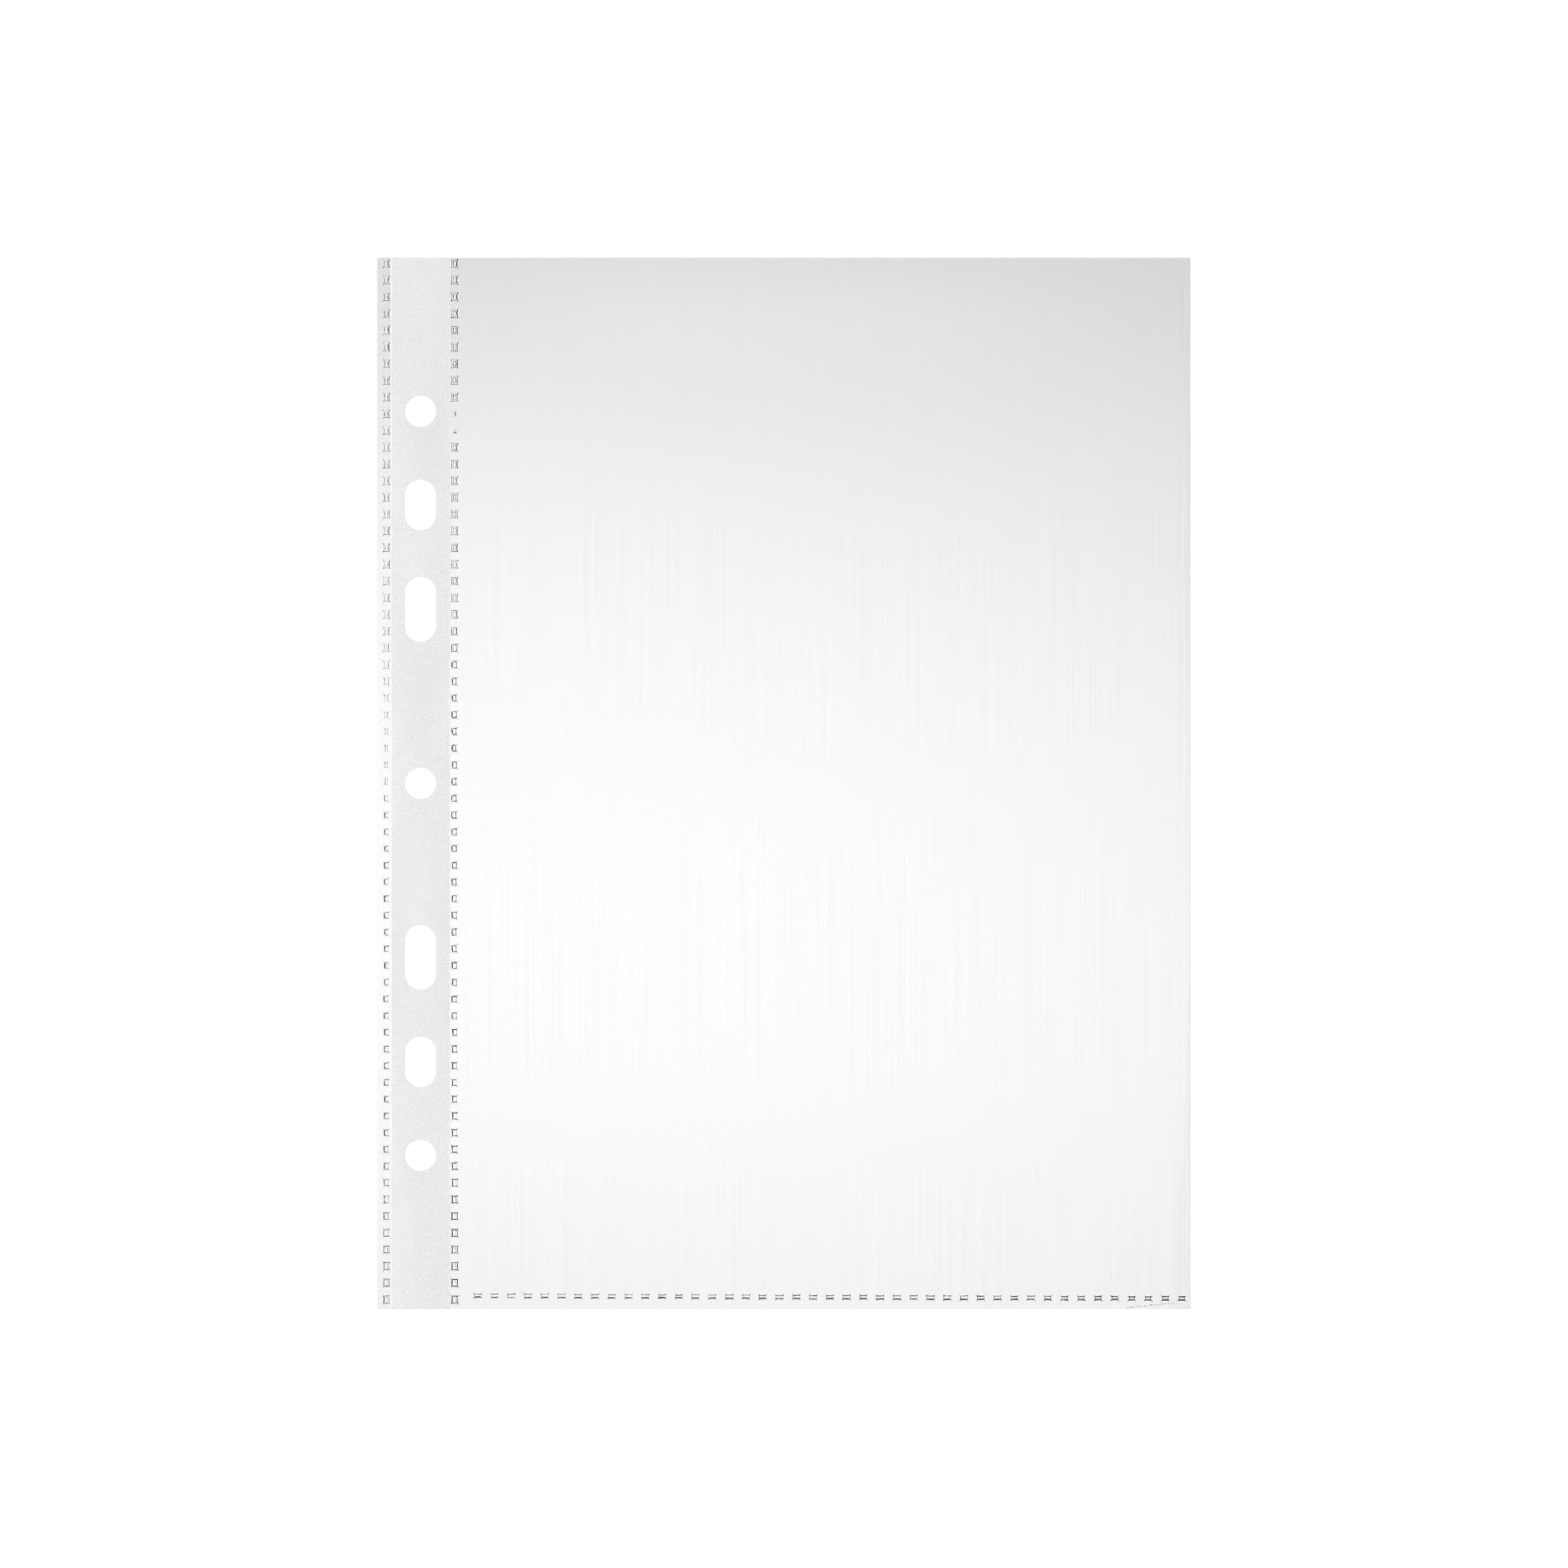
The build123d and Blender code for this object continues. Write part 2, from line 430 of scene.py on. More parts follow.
class Style:
    """How a weld was pressed, and its painted shade and highlight. Lists go round the pressed frame: its
    sides from the one below to the right, above and left, and its corners from the lower left. Lengths are
    in millimetres."""

    def __init__(self, sides, corners, ticks, second, inset, bow, fringe, gleam, stroke, rounding=(0.0,)):
        self.sides = uneven_tones(sides)  # painted shade: how dark each side's wall looks
        self.corners = uneven_tones(corners)
        self.ticks = uneven_tones(ticks)  # painted shade: short lines out from the corners
        self.second = [jitter(value, second_spread) for value in second]  # painted shade: a fainter line inside the first
        self.inset = [jitter(value * mm, inset_spread) for value in inset]  # from the border to the frame
        self.bow = [jitter(value * mm, bow_spread) for value in bow]  # how far a side bows inwards
        self.fringe = fringe  # painted highlight: how white the film outside each side is
        self.gleam = gleam  # painted highlight: how white the pit is
        self.rounding = rounding[0]  # from 0, a frame with corners, to 1, an oval
        # Run of each wall, wider where its painted shade is darker
        self.wide = [mix(thinnest_stroke, stroke, tone ** 1.5) * mm for tone in self.sides]


def keyed(stops, along):
    """The list of values at a place along a row, between those given at its stops."""
    for (start, before), (end, after) in zip(stops, stops[1:]):
        if along <= end:
            t = smooth(along, start, end)
            return [mix(a, b, t) for a, b in zip(before, after)]
    return list(stops[-1][1])


def flared(corners, bows):
    """Points round four corners, along sides that bow inwards, from the lower left corner to the right."""
    points = []
    for side in range(4):
        start, end = corners[side], corners[(side + 1) % 4]
        run = end - start
        inward = Vector((-run.y, run.x)).normalized()
        for k in range(side_steps):
            t = k / side_steps
            points.append((start + run * t + inward * bows[side] * (1 - abs(2 * t - 1) ** 3), side, t))
    return points


def rounded(point, reach, share):
    """A point of a rectangle's outline, some share of the way to the oval inside the rectangle."""
    u, v = point.x / reach.x, point.y / reach.y
    return point * mix(1.0, max(abs(u), abs(v)) / math.hypot(u, v), share)


def add_spot(bm, layer, spot, style, place):
    """One fused spot: a rim, a frame of walls painted as dark lines, and a pit. Its marks run from -1, white
    painted highlight, to 1, dark painted shade."""
    half_width, half_height = spot.width / 2, spot.height / 2
    jogs = [Vector((random.uniform(-jog, jog), random.uniform(-jog, jog))) for corner in range(4)]

    def ring(insets, bows, jogged, level, tone, waver=0.0, rounding=0.0):
        """Points round the spot at some insets from its border, with their tones."""
        below, right_in, above, left_in = insets
        corners = [Vector((-half_width + left_in, -half_height + below)),
                   Vector((half_width - right_in, -half_height + below)),
                   Vector((half_width - right_in, half_height - above)),
                   Vector((-half_width + left_in, half_height - above))]
        corners = [corner + jogged * shift for corner, shift in zip(corners, jogs)]
        centre = (corners[0] + corners[2]) / 2
        reach = (corners[2] - corners[0]) / 2
        verts = []
        for point, side, t in flared(corners, bows):
            point = centre + rounded(point - centre, reach, rounding)
            x = spot.x + point.x + random.uniform(-waver, waver)
            y = spot.y + point.y + random.uniform(-waver, waver)
            vert = bm.verts.new(place(x, y, level))
            broken = gap_tone if waver and random.random() < gap_share else 1.0
            vert[layer] = broken * jitter(tone(side, t), point_spread)
            verts.append(vert)
        return verts

    def frame_ring(insets, level, tone, waver=0.0):
        """A ring with the frame's bowed and rounded sides."""
        return ring(insets, style.bow, 1, level, tone, waver, style.rounding)

    def frame_tone(side, t):
        """The tone of a side, which gives way to those of its corners."""
        corner = style.corners[side] if t < 0.5 else style.corners[(side + 1) % 4]
        return mix(corner, style.sides[side], smooth(min(t, 1 - t), 0.0, 0.25))

    def tick_tone(side, t):
        return style.ticks[side] if t == 0 else 0.0

    def second_tone(side, t):
        return style.second[side]

    def fringe_tone(side, t):
        return -style.fringe[side]

    def clear_tone(side, t):
        return 0.0

    def gleam_tone(side, t):
        return -style.gleam

    def inside(share):
        """Insets some share of the way from the frame's walls to the middle of the pit."""
        taken = [end + bow for end, bow in zip(wall_end, style.bow)]
        room = min(half_width - (taken[1] + taken[3]) / 2, half_height - (taken[0] + taken[2]) / 2)
        return [end + share * max(room - jog, least_room) for end in wall_end]

    def outside(share):
        """Insets some share of the way from the border to the frame."""
        return [share * inset for inset in style.inset]

    pit = land_top - weld_pit
    flat = (0, 0, 0, 0)
    wall_end = [inset + wide for inset, wide in zip(style.inset, style.wide)]
    fringe_bow = [0.5 * bow + 0.3 * inset for bow, inset in zip(style.bow, style.inset)]
    flare_bow = [bow + 0.55 * inset for bow, inset in zip(style.bow, style.inset)]
    border = ring(flat, flat, 0, land_top, clear_tone)
    rings = [
        border,
        ring(outside(0.15), fringe_bow, 0.2, land_top + rim_height, fringe_tone),
        ring(outside(0.3), flare_bow, 0.5, land_top, tick_tone),
        frame_ring(style.inset, land_top, frame_tone, wall_waver),
        frame_ring(wall_end, pit, frame_tone, wall_waver),
        frame_ring(inside(0.12), pit, gleam_tone),
        frame_ring(inside(0.28), pit, gleam_tone),
        frame_ring(inside(0.4), pit - second_depth, second_tone, second_waver),
        frame_ring(inside(0.72), pit - second_depth, second_tone, second_waver),
        frame_ring(inside(0.85), pit, gleam_tone),
    ]
    for outer, inner in zip(rings, rings[1:]):
        for k in range(len(outer)):
            n = (k + 1) % len(outer)
            bm.faces.new((outer[k], outer[n], inner[n], inner[k]))
    core = rings[-1]
    middle = bm.verts.new(sum((vert.co for vert in core), Vector()) / len(core))
    middle[layer] = -style.gleam
    for k in range(len(core)):
        bm.faces.new((core[k], core[(k + 1) % len(core)], middle))
    under = ring(flat, flat, 0, 0, clear_tone)
    for k in range(len(border)):
        n = (k + 1) % len(border)
        bm.faces.new((border[k], under[k], under[n], border[n]))
    bm.faces.new(list(reversed(under)))


# Looks of the rows: a style's lists at stops along the row. Side rows run from the mouth down, and the
# bottom row from the margin to the fold.
outer_look = {
    "sides": (
        (0.0, (0.4, 0.7, 0.25, 0.4)),
        (0.19, (0.4, 0.55, 0.2, 0.4)),
        (0.31, (0.4, 0.65, 0.15, 0.15)),
        (0.44, (0.15, 0.35, 0.2, 0.3)),
        (0.56, (0.45, 0.0, 0.5, 0.78)),
        (0.81, (0.52, 0.05, 0.52, 0.8)),
        (1.0, (0.6, 0.38, 0.5, 0.65)),
    ),
    "corners": (
        (0.0, (0.8, 0.7, 0.9, 0.3)),
        (0.31, (0.9, 0.6, 0.7, 0.6)),
        (0.44, (0.3, 0.5, 0.6, 0.7)),
        (0.56, (0.25, 0.4, 0.4, 0.25)),
        (1.0, (0.5, 0.5, 0.5, 0.5)),
    ),
    "ticks": (
        (0.0, (0.8, 0.7, 0.9, 0.3)),
        (0.31, (0.9, 0.6, 0.7, 0.6)),
        (0.44, (0.3, 0.5, 0.6, 0.5)),
        (0.56, (0.0, 0.5, 0.5, 0.0)),
        (0.81, (0.0, 0.4, 0.4, 0.0)),
        (1.0, (0.4, 0.4, 0.4, 0.4)),
    ),
    "second": (
        (0.0, (0.2, 0.7, 0.2, 0.6)),
        (0.31, (0.1, 0.3, 0.1, 0.4)),
        (0.44, (0.0, 0.1, 0.0, 0.2)),
        (0.81, (0.0, 0.2, 0.0, 0.0)),
        (1.0, (0.1, 0.4, 0.3, 0.1)),
    ),
    "inset": (
        (0.0, (0.05, 0.1, 0.05, 0.12)),
        (0.31, (0.1, 0.1, 0.1, 0.15)),
        (0.5, (0.32, 0.44, 0.3, 0.42)),
        (0.81, (0.3, 0.4, 0.27, 0.38)),
        (1.0, (0.18, 0.15, 0.05, 0.18)),
    ),
    "bow": (
        (0.0, (0.12, 0.22, 0.12, 0.2)),
        (0.44, (0.12, 0.2, 0.12, 0.1)),
        (0.56, (0.04, 0.04, 0.04, -0.1)),
        (0.81, (0.04, 0.04, 0.04, -0.1)),
        (1.0, (0.08, 0.1, 0.05, 0.05)),
    ),
    "rounding": (
        (0.0, (0.0,)),
        (0.44, (0.1,)),
        (0.56, (0.8,)),
        (0.81, (0.7,)),
        (1.0, (0.1,)),
    ),
}
inner_look = {
    "sides": (
        (0.0, (0.5, 0.75, 0.4, 0.45)),
        (0.19, (0.4, 0.65, 0.4, 0.4)),
        (0.31, (0.5, 0.7, 0.4, 0.45)),
        (0.44, (0.52, 0.5, 0.62, 0.82)),
        (0.56, (0.55, 0.52, 0.62, 0.85)),
        (0.69, (0.52, 0.4, 0.68, 0.9)),
        (0.81, (0.7, 0.2, 0.75, 0.95)),
        (1.0, (0.85, 0.62, 0.75, 0.9)),
    ),
    "corners": (
        (0.0, (0.7, 0.9, 0.8, 0.4)),
        (0.19, (0.5, 0.6, 0.6, 0.5)),
        (0.44, (0.25, 0.6, 0.5, 0.25)),
        (0.69, (0.3, 0.5, 0.6, 0.4)),
        (0.81, (0.7, 0.9, 0.8, 0.9)),
        (1.0, (0.8, 0.8, 0.8, 0.8)),
    ),
    "ticks": (
        (0.0, (0.5, 0.9, 0.8, 0.3)),
        (0.31, (0.5, 0.8, 0.8, 0.4)),
        (0.44, (0.0, 0.8, 0.7, 0.0)),
        (0.69, (0.1, 0.6, 0.7, 0.2)),
        (0.81, (0.5, 0.8, 0.7, 0.6)),
        (1.0, (0.6, 0.6, 0.6, 0.6)),
    ),
    "second": (
        (0.0, (0.5, 0.4, 0.6, 0.8)),
        (0.19, (0.4, 0.5, 0.4, 0.5)),
        (0.31, (0.3, 0.3, 0.4, 0.6)),
        (0.44, (0.0, 0.0, 0.0, 0.1)),
        (0.81, (0.0, 0.1, 0.0, 0.0)),
        (1.0, (0.1, 0.5, 0.4, 0.1)),
    ),
    "inset": (
        (0.0, (0.05, 0.05, 0.05, 0.08)),
        (0.31, (0.1, 0.1, 0.1, 0.1)),
        (0.44, (0.32, 0.48, 0.3, 0.3)),
        (0.69, (0.3, 0.42, 0.28, 0.28)),
        (1.0, (0.15, 0.1, 0.1, 0.15)),
    ),
    "bow": (
        (0.0, (0.1, 0.22, 0.1, 0.1)),
        (0.31, (0.08, 0.2, 0.08, 0.05)),
        (0.44, (-0.06, 0.0, -0.06, -0.1)),
        (0.69, (0.0, 0.05, 0.0, -0.05)),
        (0.81, (0.06, 0.1, 0.06, 0.04)),
        (1.0, (0.08, 0.12, 0.08, 0.08)),
    ),
    "rounding": (
        (0.0, (0.0,)),
        (0.31, (0.1,)),
        (0.44, (0.9,)),
        (0.69, (0.6,)),
        (0.81, (0.2,)),
        (1.0, (0.1,)),
    ),
}
bottom_flare = 0.6  # how far along the bottom row the corners start to flare
bottom_corners = (
    (0.0, (0.6, 0.3, 0.5, 0.6)),
    (bottom_flare, (0.7, 0.6, 0.7, 0.7)),
    (1.0, (1.0, 0.8, 0.8, 0.6)),
)
bottom_look = {
    "sides": (
        (0.0, (0.75, 0.15, 0.5, 0.4)),
        (0.2, (1.0, 0.15, 0.5, 0.35)),
        (bottom_flare, (1.0, 0.3, 0.6, 0.45)),
        (1.0, (0.92, 0.6, 0.7, 0.5)),
    ),
    "corners": bottom_corners,
    "ticks": bottom_corners,
    "second": (
        (0.0, (0.0, 0.0, 0.0, 0.0)),
        (bottom_flare, (0.0, 0.1, 0.0, 0.1)),
        (1.0, (0.3, 0.6, 0.3, 0.6)),
    ),
    "inset": (
        (0.0, (0.28, 0.12, 0.31, 0.12)),
        (bottom_flare, (0.3, 0.12, 0.26, 0.1)),
        (1.0, (0.36, 0.08, 0.14, 0.06)),
    ),
    "bow": (
        (0.0, (0.03, 0.06, 0.05, 0.06)),
        (bottom_flare, (0.03, 0.06, 0.05, 0.06)),
        (1.0, (0.06, 0.26, 0.05, 0.26)),
    ),
}
# Sides that are left of two faint spots of the inner row, counted from the mouth
faint_inner = {9: (0.0, 0.6, 0.4, 0.0), 10: (0.8, 0.3, 0.0, 0.0)}


def styled(look, along, **given):
    """A style with the lists of a row's look at a place along the row."""
    lists = {name: keyed(stops, along) for name, stops in look.items()}
    return Style(**lists, **given)


def outer_style(spot, number):
    """A spot outside the strip. Its side of darkest painted shade moves from the right at the mouth to the
    left below.
    """
    return styled(outer_look, spot.along, fringe=(0.2, 0.4, 0.2, 0.2), gleam=0.35, stroke=0.28)


def inner_style(spot, number):
    """A spot between the strip and the pocket, pressed harder than those outside the strip, with darker
    painted shade.
    """
    if number in faint_inner:
        none = (0, 0, 0, 0)
        return Style(sides=faint_inner[number], corners=none, ticks=none, second=none,
                     inset=(0.4, 0.35, 0.4, 0.35), bow=keyed(inner_look["bow"], spot.along),
                     fringe=none, gleam=0.0, stroke=0.3)
    return styled(inner_look, spot.along, fringe=(0.2, 0.4, 0.2, 0.4), gleam=0.35,
                  stroke=mix(0.28, 0.24, spot.along))


def bottom_style(spot, number):
    """A spot of the bottom row, with a heavy lower edge of painted shade and, near the fold, wide flared
    corners.
    """
    near_fold = smooth(spot.along, bottom_flare, 1.0)
    return styled(bottom_look, spot.along, fringe=(0.5, 0.2, 0.5, 0.2), gleam=mix(0.4, 0.15, near_fold),
                  stroke=0.32)


# Nicks at the lower right
nick_start = (right - 13.3 * mm, bottom + 0.25 * mm)
nick_end = (right - 3.6 * mm, bottom + 1.3 * mm)
nick_count = 18
nick_sides = 8
nick_rim = land_top - 0.01 * mm
nick_crest = land_top + 0.025 * mm
nick_root = nick_rim - 0.02 * mm
nick_scatter = (0.25, 0.1)  # across and up, in millimetres, as are the sizes below
nick_lengths = (0.3, 0.8)
nick_heights = (0.16, 0.34)


def add_nick(bm, layer, x, y, length, height):
    """A small dent left in the film by the trimming knife, with painted shade at its crest."""
    rim = []
    for k in range(nick_sides):
        turn = 2 * math.pi * k / nick_sides
        reach = random.uniform(0.7, 1.1) / 2
        across, up = length * reach * math.cos(turn), height * reach * math.sin(turn)
        rim.append(bm.verts.new((x + across, y + up, nick_rim)))
    crest = bm.verts.new((x, y, nick_crest))
    # The crest is marked dark: painted shade
    crest[layer] = random.uniform(0.4, 0.8)
    root = bm.verts.new((x, y, nick_root))
    for k in range(nick_sides):
        n = (k + 1) % nick_sides
        bm.faces.new((rim[k], rim[n], crest))
        bm.faces.new((rim[n], rim[k], root))


def add_nicks(bm, layer):
    """A broken line of nicks that climbs from the bottom edge towards the fold."""
    for k in range(nick_count):
        t = k / (nick_count - 1)
        x = mix(nick_start[0], nick_end[0], t) + random.uniform(-nick_scatter[0], nick_scatter[0]) * mm
        y = mix(nick_start[1], nick_end[1], t) + random.uniform(-nick_scatter[1], nick_scatter[1]) * mm
        length = random.uniform(*nick_lengths) * mm
        height = random.uniform(*nick_heights) * mm
        add_nick(bm, layer, x, y, length, height)


def make_spots(name, spots, style_of, place, extra=None):
    bm = bmesh.new()
    # Each point's mark: painted shade above 0, painted highlight below 0
    layer = bm.verts.layers.float.new("mark")
    for number, spot in enumerate(spots):
        add_spot(bm, layer, spot, style_of(spot, number), place)
    if extra:
        extra(bm, layer)
    return new_object(name, bm)


def flat_place(x, y, z):
    return Vector((x, y, z))


def sloped_place(x, y, z):
    return Vector((x, y + row_slope * (x - row_middle_x), z))


# Materials

film_tint = (0.615, 0.622, 0.61)
film_shades = ((0.3, (0.6, 0.62, 0.61)), (0.7, (0.63, 0.624, 0.61)))
film_metal = 0.8
film_haze = 0.1345  # share of the light that one face of the film turns back
film_glance = 0.6  # how much more it turns back at a glancing angle
fused_haze = 1 - (1 - film_haze) ** 2  # the same for a weld, which has half as many faces
dirt = (0.12, 0.11, 0.1)
# Grey-brown painted shade for the walls of a weld, standing in for the light they bend away
painted_wall_shade = (0.06, 0.055, 0.05)
worn_run = 5 * mm  # band beside the fold with more haze and deeper streaks
noise_span = (0.3, 0.7)  # where most values of a noise lie


class Nodes:
    """A material, and short calls to add and join its nodes."""

    def __init__(self, name):
        self.material = bpy.data.materials.new(name)
        self.material.use_nodes = True
        self.tree = self.material.node_tree
        self.shader = self.tree.nodes["Principled BSDF"]
        self.place = self.node("ShaderNodeTexCoord").outputs["Object"]

    def node(self, kind, **settings):
        node = self.tree.nodes.new(kind)
        for key, value in settings.items():
            setattr(node, key, value)
        return node

    def link(self, source, target):
        self.tree.links.new(source, target)

    def math(self, operation, a, b=0.0, clamp=False):
        node = self.node("ShaderNodeMath", operation=operation, use_clamp=clamp)
        for socket, value in zip(node.inputs, (a, b)):
            if isinstance(value, (int, float)):
                socket.default_value = value
            else:
                self.link(value, socket)
        return node.outputs["Value"]

    def axis(self, name):
        split = self.node("ShaderNodeSeparateXYZ")
        self.link(self.place, split.inputs["Vector"])
        return split.outputs[name]


class Painter(Nodes):
    """A material with one Principled shader, and short calls to add what feeds it."""

    def noise(self, stretch, detail=2.0, roughness=0.5):
        """Noise from about 0 to 1, with stretch as cycles per metre along each axis."""
        mapping = self.node("ShaderNodeMapping")
        mapping.inputs["Scale"].default_value = stretch
        self.link(self.place, mapping.inputs["Vector"])
        texture = self.node("ShaderNodeTexNoise")
        texture.inputs["Scale"].default_value = 1.0
        texture.inputs["Detail"].default_value = detail
        texture.inputs["Roughness"].default_value = roughness
        self.link(mapping.outputs["Vector"], texture.inputs["Vector"])
        return texture.outputs["Fac"]

    def ranged(self, source, from_low, from_high, to_low, to_high, soft=False):
        node = self.node("ShaderNodeMapRange")
        if soft:
            node.interpolation_type = "SMOOTHSTEP"
        for name, value in (("From Min", from_low), ("From Max", from_high),
                            ("To Min", to_low), ("To Max", to_high)):
            node.inputs[name].default_value = value
        self.link(source, node.inputs["Value"])
        return node.outputs["Result"]

    def colours(self, source, *stops):
        ramp = self.node("ShaderNodeValToRGB")
        elements = ramp.color_ramp.elements
        while len(elements) < len(stops):
            elements.new(0.5)
        for element, (position, colour) in zip(elements, stops):
            element.position = position
            element.color = (*colour, 1)
        self.link(source, ramp.inputs["Fac"])
        return ramp.outputs["Color"]

    def channel(self, colour, name):
        split = self.node("ShaderNodeSeparateColor")
        self.link(colour, split.inputs["Color"])
        return split.outputs[name]

    def faded(self, colour, other, share):
        """One colour that gives way to another where share is 1."""
        node = self.node("ShaderNodeMix", data_type="RGBA")
        self.link(share, node.inputs["Factor"])
        self.link(colour, node.inputs["A"])
        node.inputs["B"].default_value = (*other, 1)
        return node.outputs["Result"]

    def facing(self):
        """0 where the surface faces the eye, rising steeply to 1 at a glancing angle."""
        weight = self.node("ShaderNodeLayerWeight")
        weight.inputs["Blend"].default_value = 0.5
        return self.math("POWER", weight.outputs["Facing"], 5)

    def bump(self, height, strength, distance):
        node = self.node("ShaderNodeBump")
        node.inputs["Strength"].default_value = strength
        node.inputs["Distance"].default_value = distance
        self.link(height, node.inputs["Height"])
        self.link(node.outputs["Normal"], self.shader.inputs["Normal"])

    def set(self, name, value):
        socket = self.shader.inputs[name]
        if isinstance(value, bpy.types.NodeSocket):
            self.link(value, socket)
        else:
            socket.default_value = value


def specks(p):
    """1 inside a few small specks, some centimetres apart, and 0 elsewhere."""
    flat = p.node("ShaderNodeMapping")
    flat.inputs["Scale"].default_value = (1, 1, 0)
    p.link(p.place, flat.inputs["Vector"])
    cells = p.node("ShaderNodeTexVoronoi")
    cells.inputs["Scale"].default_value = 26.0
    p.link(flat.outputs["Vector"], cells.inputs["Vector"])
    near = p.ranged(cells.outputs["Distance"], 0.002, 0.006, 1.0, 0.0)
    chosen = p.math("GREATER_THAN", p.channel(cells.outputs["Color"], "Red"), 0.7)
    return p.math("MULTIPLY", near, chosen)


def clear_film():
    """Glossy clear film: a thin mirror with a little haze, fine streaks along its length, a few specks
    and a stronger sheen at a glancing angle."""
    p = Painter("clear_film")
    streaks = p.noise((2200, 14, 1), detail=2, roughness=0.7)
    speck = specks(p)
    p.set("Base Color", p.faded(p.colours(streaks, *film_shades), dirt, speck))
    p.set("Metallic", film_metal)
    p.set("Roughness", p.ranged(streaks, *noise_span, 0.1, 0.2))
    near_fold = p.ranged(p.axis("X"), right - worn_run, right, 0.0, 1.0, soft=True)
    streak_depth = p.ranged(near_fold, 0.0, 1.0, 0.009, 0.055)
    opacity = p.math("MULTIPLY", p.ranged(streaks, *noise_span, -0.5, 0.5), streak_depth)
    fold_haze = p.math("MULTIPLY", near_fold, p.ranged(p.axis("Y"), -60 * mm, 80 * mm, 0.03, 0.004))
    opacity = p.math("ADD", opacity, p.math("ADD", fold_haze, film_haze))
    opacity = p.math("ADD", opacity, p.math("MULTIPLY", speck, 0.5))
    opacity = p.math("MULTIPLY", opacity, p.ranged(p.axis("X"), fold_bend, right, 1.0, 0.2))
    past_turn = p.ranged(p.axis("X"), fold_bend - fold_radius, fold_bend, film_glance, 0.15)
    glance = p.math("MULTIPLY", p.facing(), past_turn)
    p.set("Alpha", p.math("ADD", opacity, glance, clamp=True))
    p.bump(streaks, 0.2, 0.01 * mm)
    return p.material


def margin_film():
    """The clear film, dulled where it lies on the grained strip."""
    p = Painter("margin_film")
    grain = p.noise((2600, 2600, 2600), detail=1)
    p.set("Base Color", p.colours(grain, *film_shades))
    p.set("Metallic", film_metal)
    onto = p.ranged(p.axis("X"), strip_left - drape_run, strip_left, 0.0, 1.0)
    off = p.ranged(p.axis("X"), strip_right, strip_right + drape_run, 1.0, 0.0)
    dull = p.math("MULTIPLY", p.math("MULTIPLY", onto, off), 0.55)
    p.set("Roughness", p.math("ADD", p.ranged(grain, *noise_span, 0.1, 0.2), dull))
    glance = p.math("MULTIPLY", p.facing(), film_glance)
    p.set("Alpha", p.math("ADD", glance, film_haze, clamp=True))
    p.bump(grain, 0.04, 0.01 * mm)
    return p.material


def milky_strip():
    """Matte milky plastic with a fine grain and painted shade, a little greyer to the right and towards the
    mouth.
    """
    p = Painter("milky_strip")
    grain = p.noise((3600, 2800, 3600), detail=1, roughness=0.6)
    clouds = p.noise((90, 30, 1), detail=2)
    tone = p.math("ADD", p.math("MULTIPLY", grain, 0.75), p.math("MULTIPLY", clouds, 0.25))
    # Painted shade: greyer to the right and towards the mouth, where less of the light falls
    tone = p.math("ADD", tone, p.ranged(p.axis("X"), strip_left, strip_right, 0.03, -0.02))
    tone = p.math("ADD", tone, p.ranged(p.axis("Y"), 0.0, top, 0.0, -0.03))
    p.set("Base Color", p.colours(tone, (0.38, (0.772, 0.782, 0.777)), (0.62, (0.948, 0.948, 0.943))))
    p.set("Roughness", p.ranged(grain, *noise_span, 0.5, 0.7))
    p.set("Alpha", 0.92)
    p.bump(grain, 0.3, 0.02 * mm)
    return p.material


def painted_edge_highlight(name, whitest):
    """Painted highlight: film painted white where it climbs the strip's edge, for the light that its slope
    catches.
    """
    p = Painter(name)
    broken = p.noise((300, 160, 1), detail=3)
    p.set("Base Color", p.colours(broken, (0.3, (0.93, 0.93, 0.92)), (0.7, (0.98, 0.98, 0.98))))
    p.set("Roughness", p.ranged(broken, *noise_span, 0.3, 0.5))
    p.set("Alpha", p.ranged(broken, 0.3, 0.65, 0.05, whitest))
    return p.material


def fused_film():
    """Melted film: clear where it is flat, with painted shade in grey-brown where a wall would bend the
    light away, and painted highlight in white where a rim or pit would catch it."""
    p = Painter("fused_film")
    mark = p.node("ShaderNodeAttribute", attribute_name="mark").outputs["Fac"]
    grain = p.noise((3500, 3500, 3500), detail=3)
    # dark is painted shade on the walls, white is painted highlight on rims and pits
    dark = p.math("MULTIPLY", mark, p.ranged(grain, *noise_span, 0.75, 1.15), clamp=True)
    white = p.math("MULTIPLY", mark, -1.0, clamp=True)
    pale = p.colours(white, (0.0, film_tint), (0.4, (0.97, 0.97, 0.96)))
    p.set("Base Color", p.faded(pale, painted_wall_shade, p.ranged(dark, 0.0, 0.4, 0.0, 1.0)))
    p.set("Metallic", p.ranged(p.math("MAXIMUM", dark, white), 0.0, 0.3, film_metal, 0.0))
    p.set("Roughness", p.ranged(grain, *noise_span, 0.1, 0.25))
    dark_opacity = p.ranged(dark, 0.0, 0.6, fused_haze, 1.0)
    white_opacity = p.ranged(white, 0.0, 0.8, fused_haze, 0.95)
    p.set("Alpha", p.math("MAXIMUM", dark_opacity, white_opacity))
    p.bump(grain, 0.2, 0.01 * mm)
    return p.material


# Put the film together

tool = punch_tool()
front_margin = make_front_margin()
back = make_back()
pocket = make_pocket()
strip = make_strip()
for obj in (front_margin, back, strip):
    punch(obj, tool)
bpy.data.objects.remove(tool)

clear = clear_film()
front_margin.data.materials.append(margin_film())
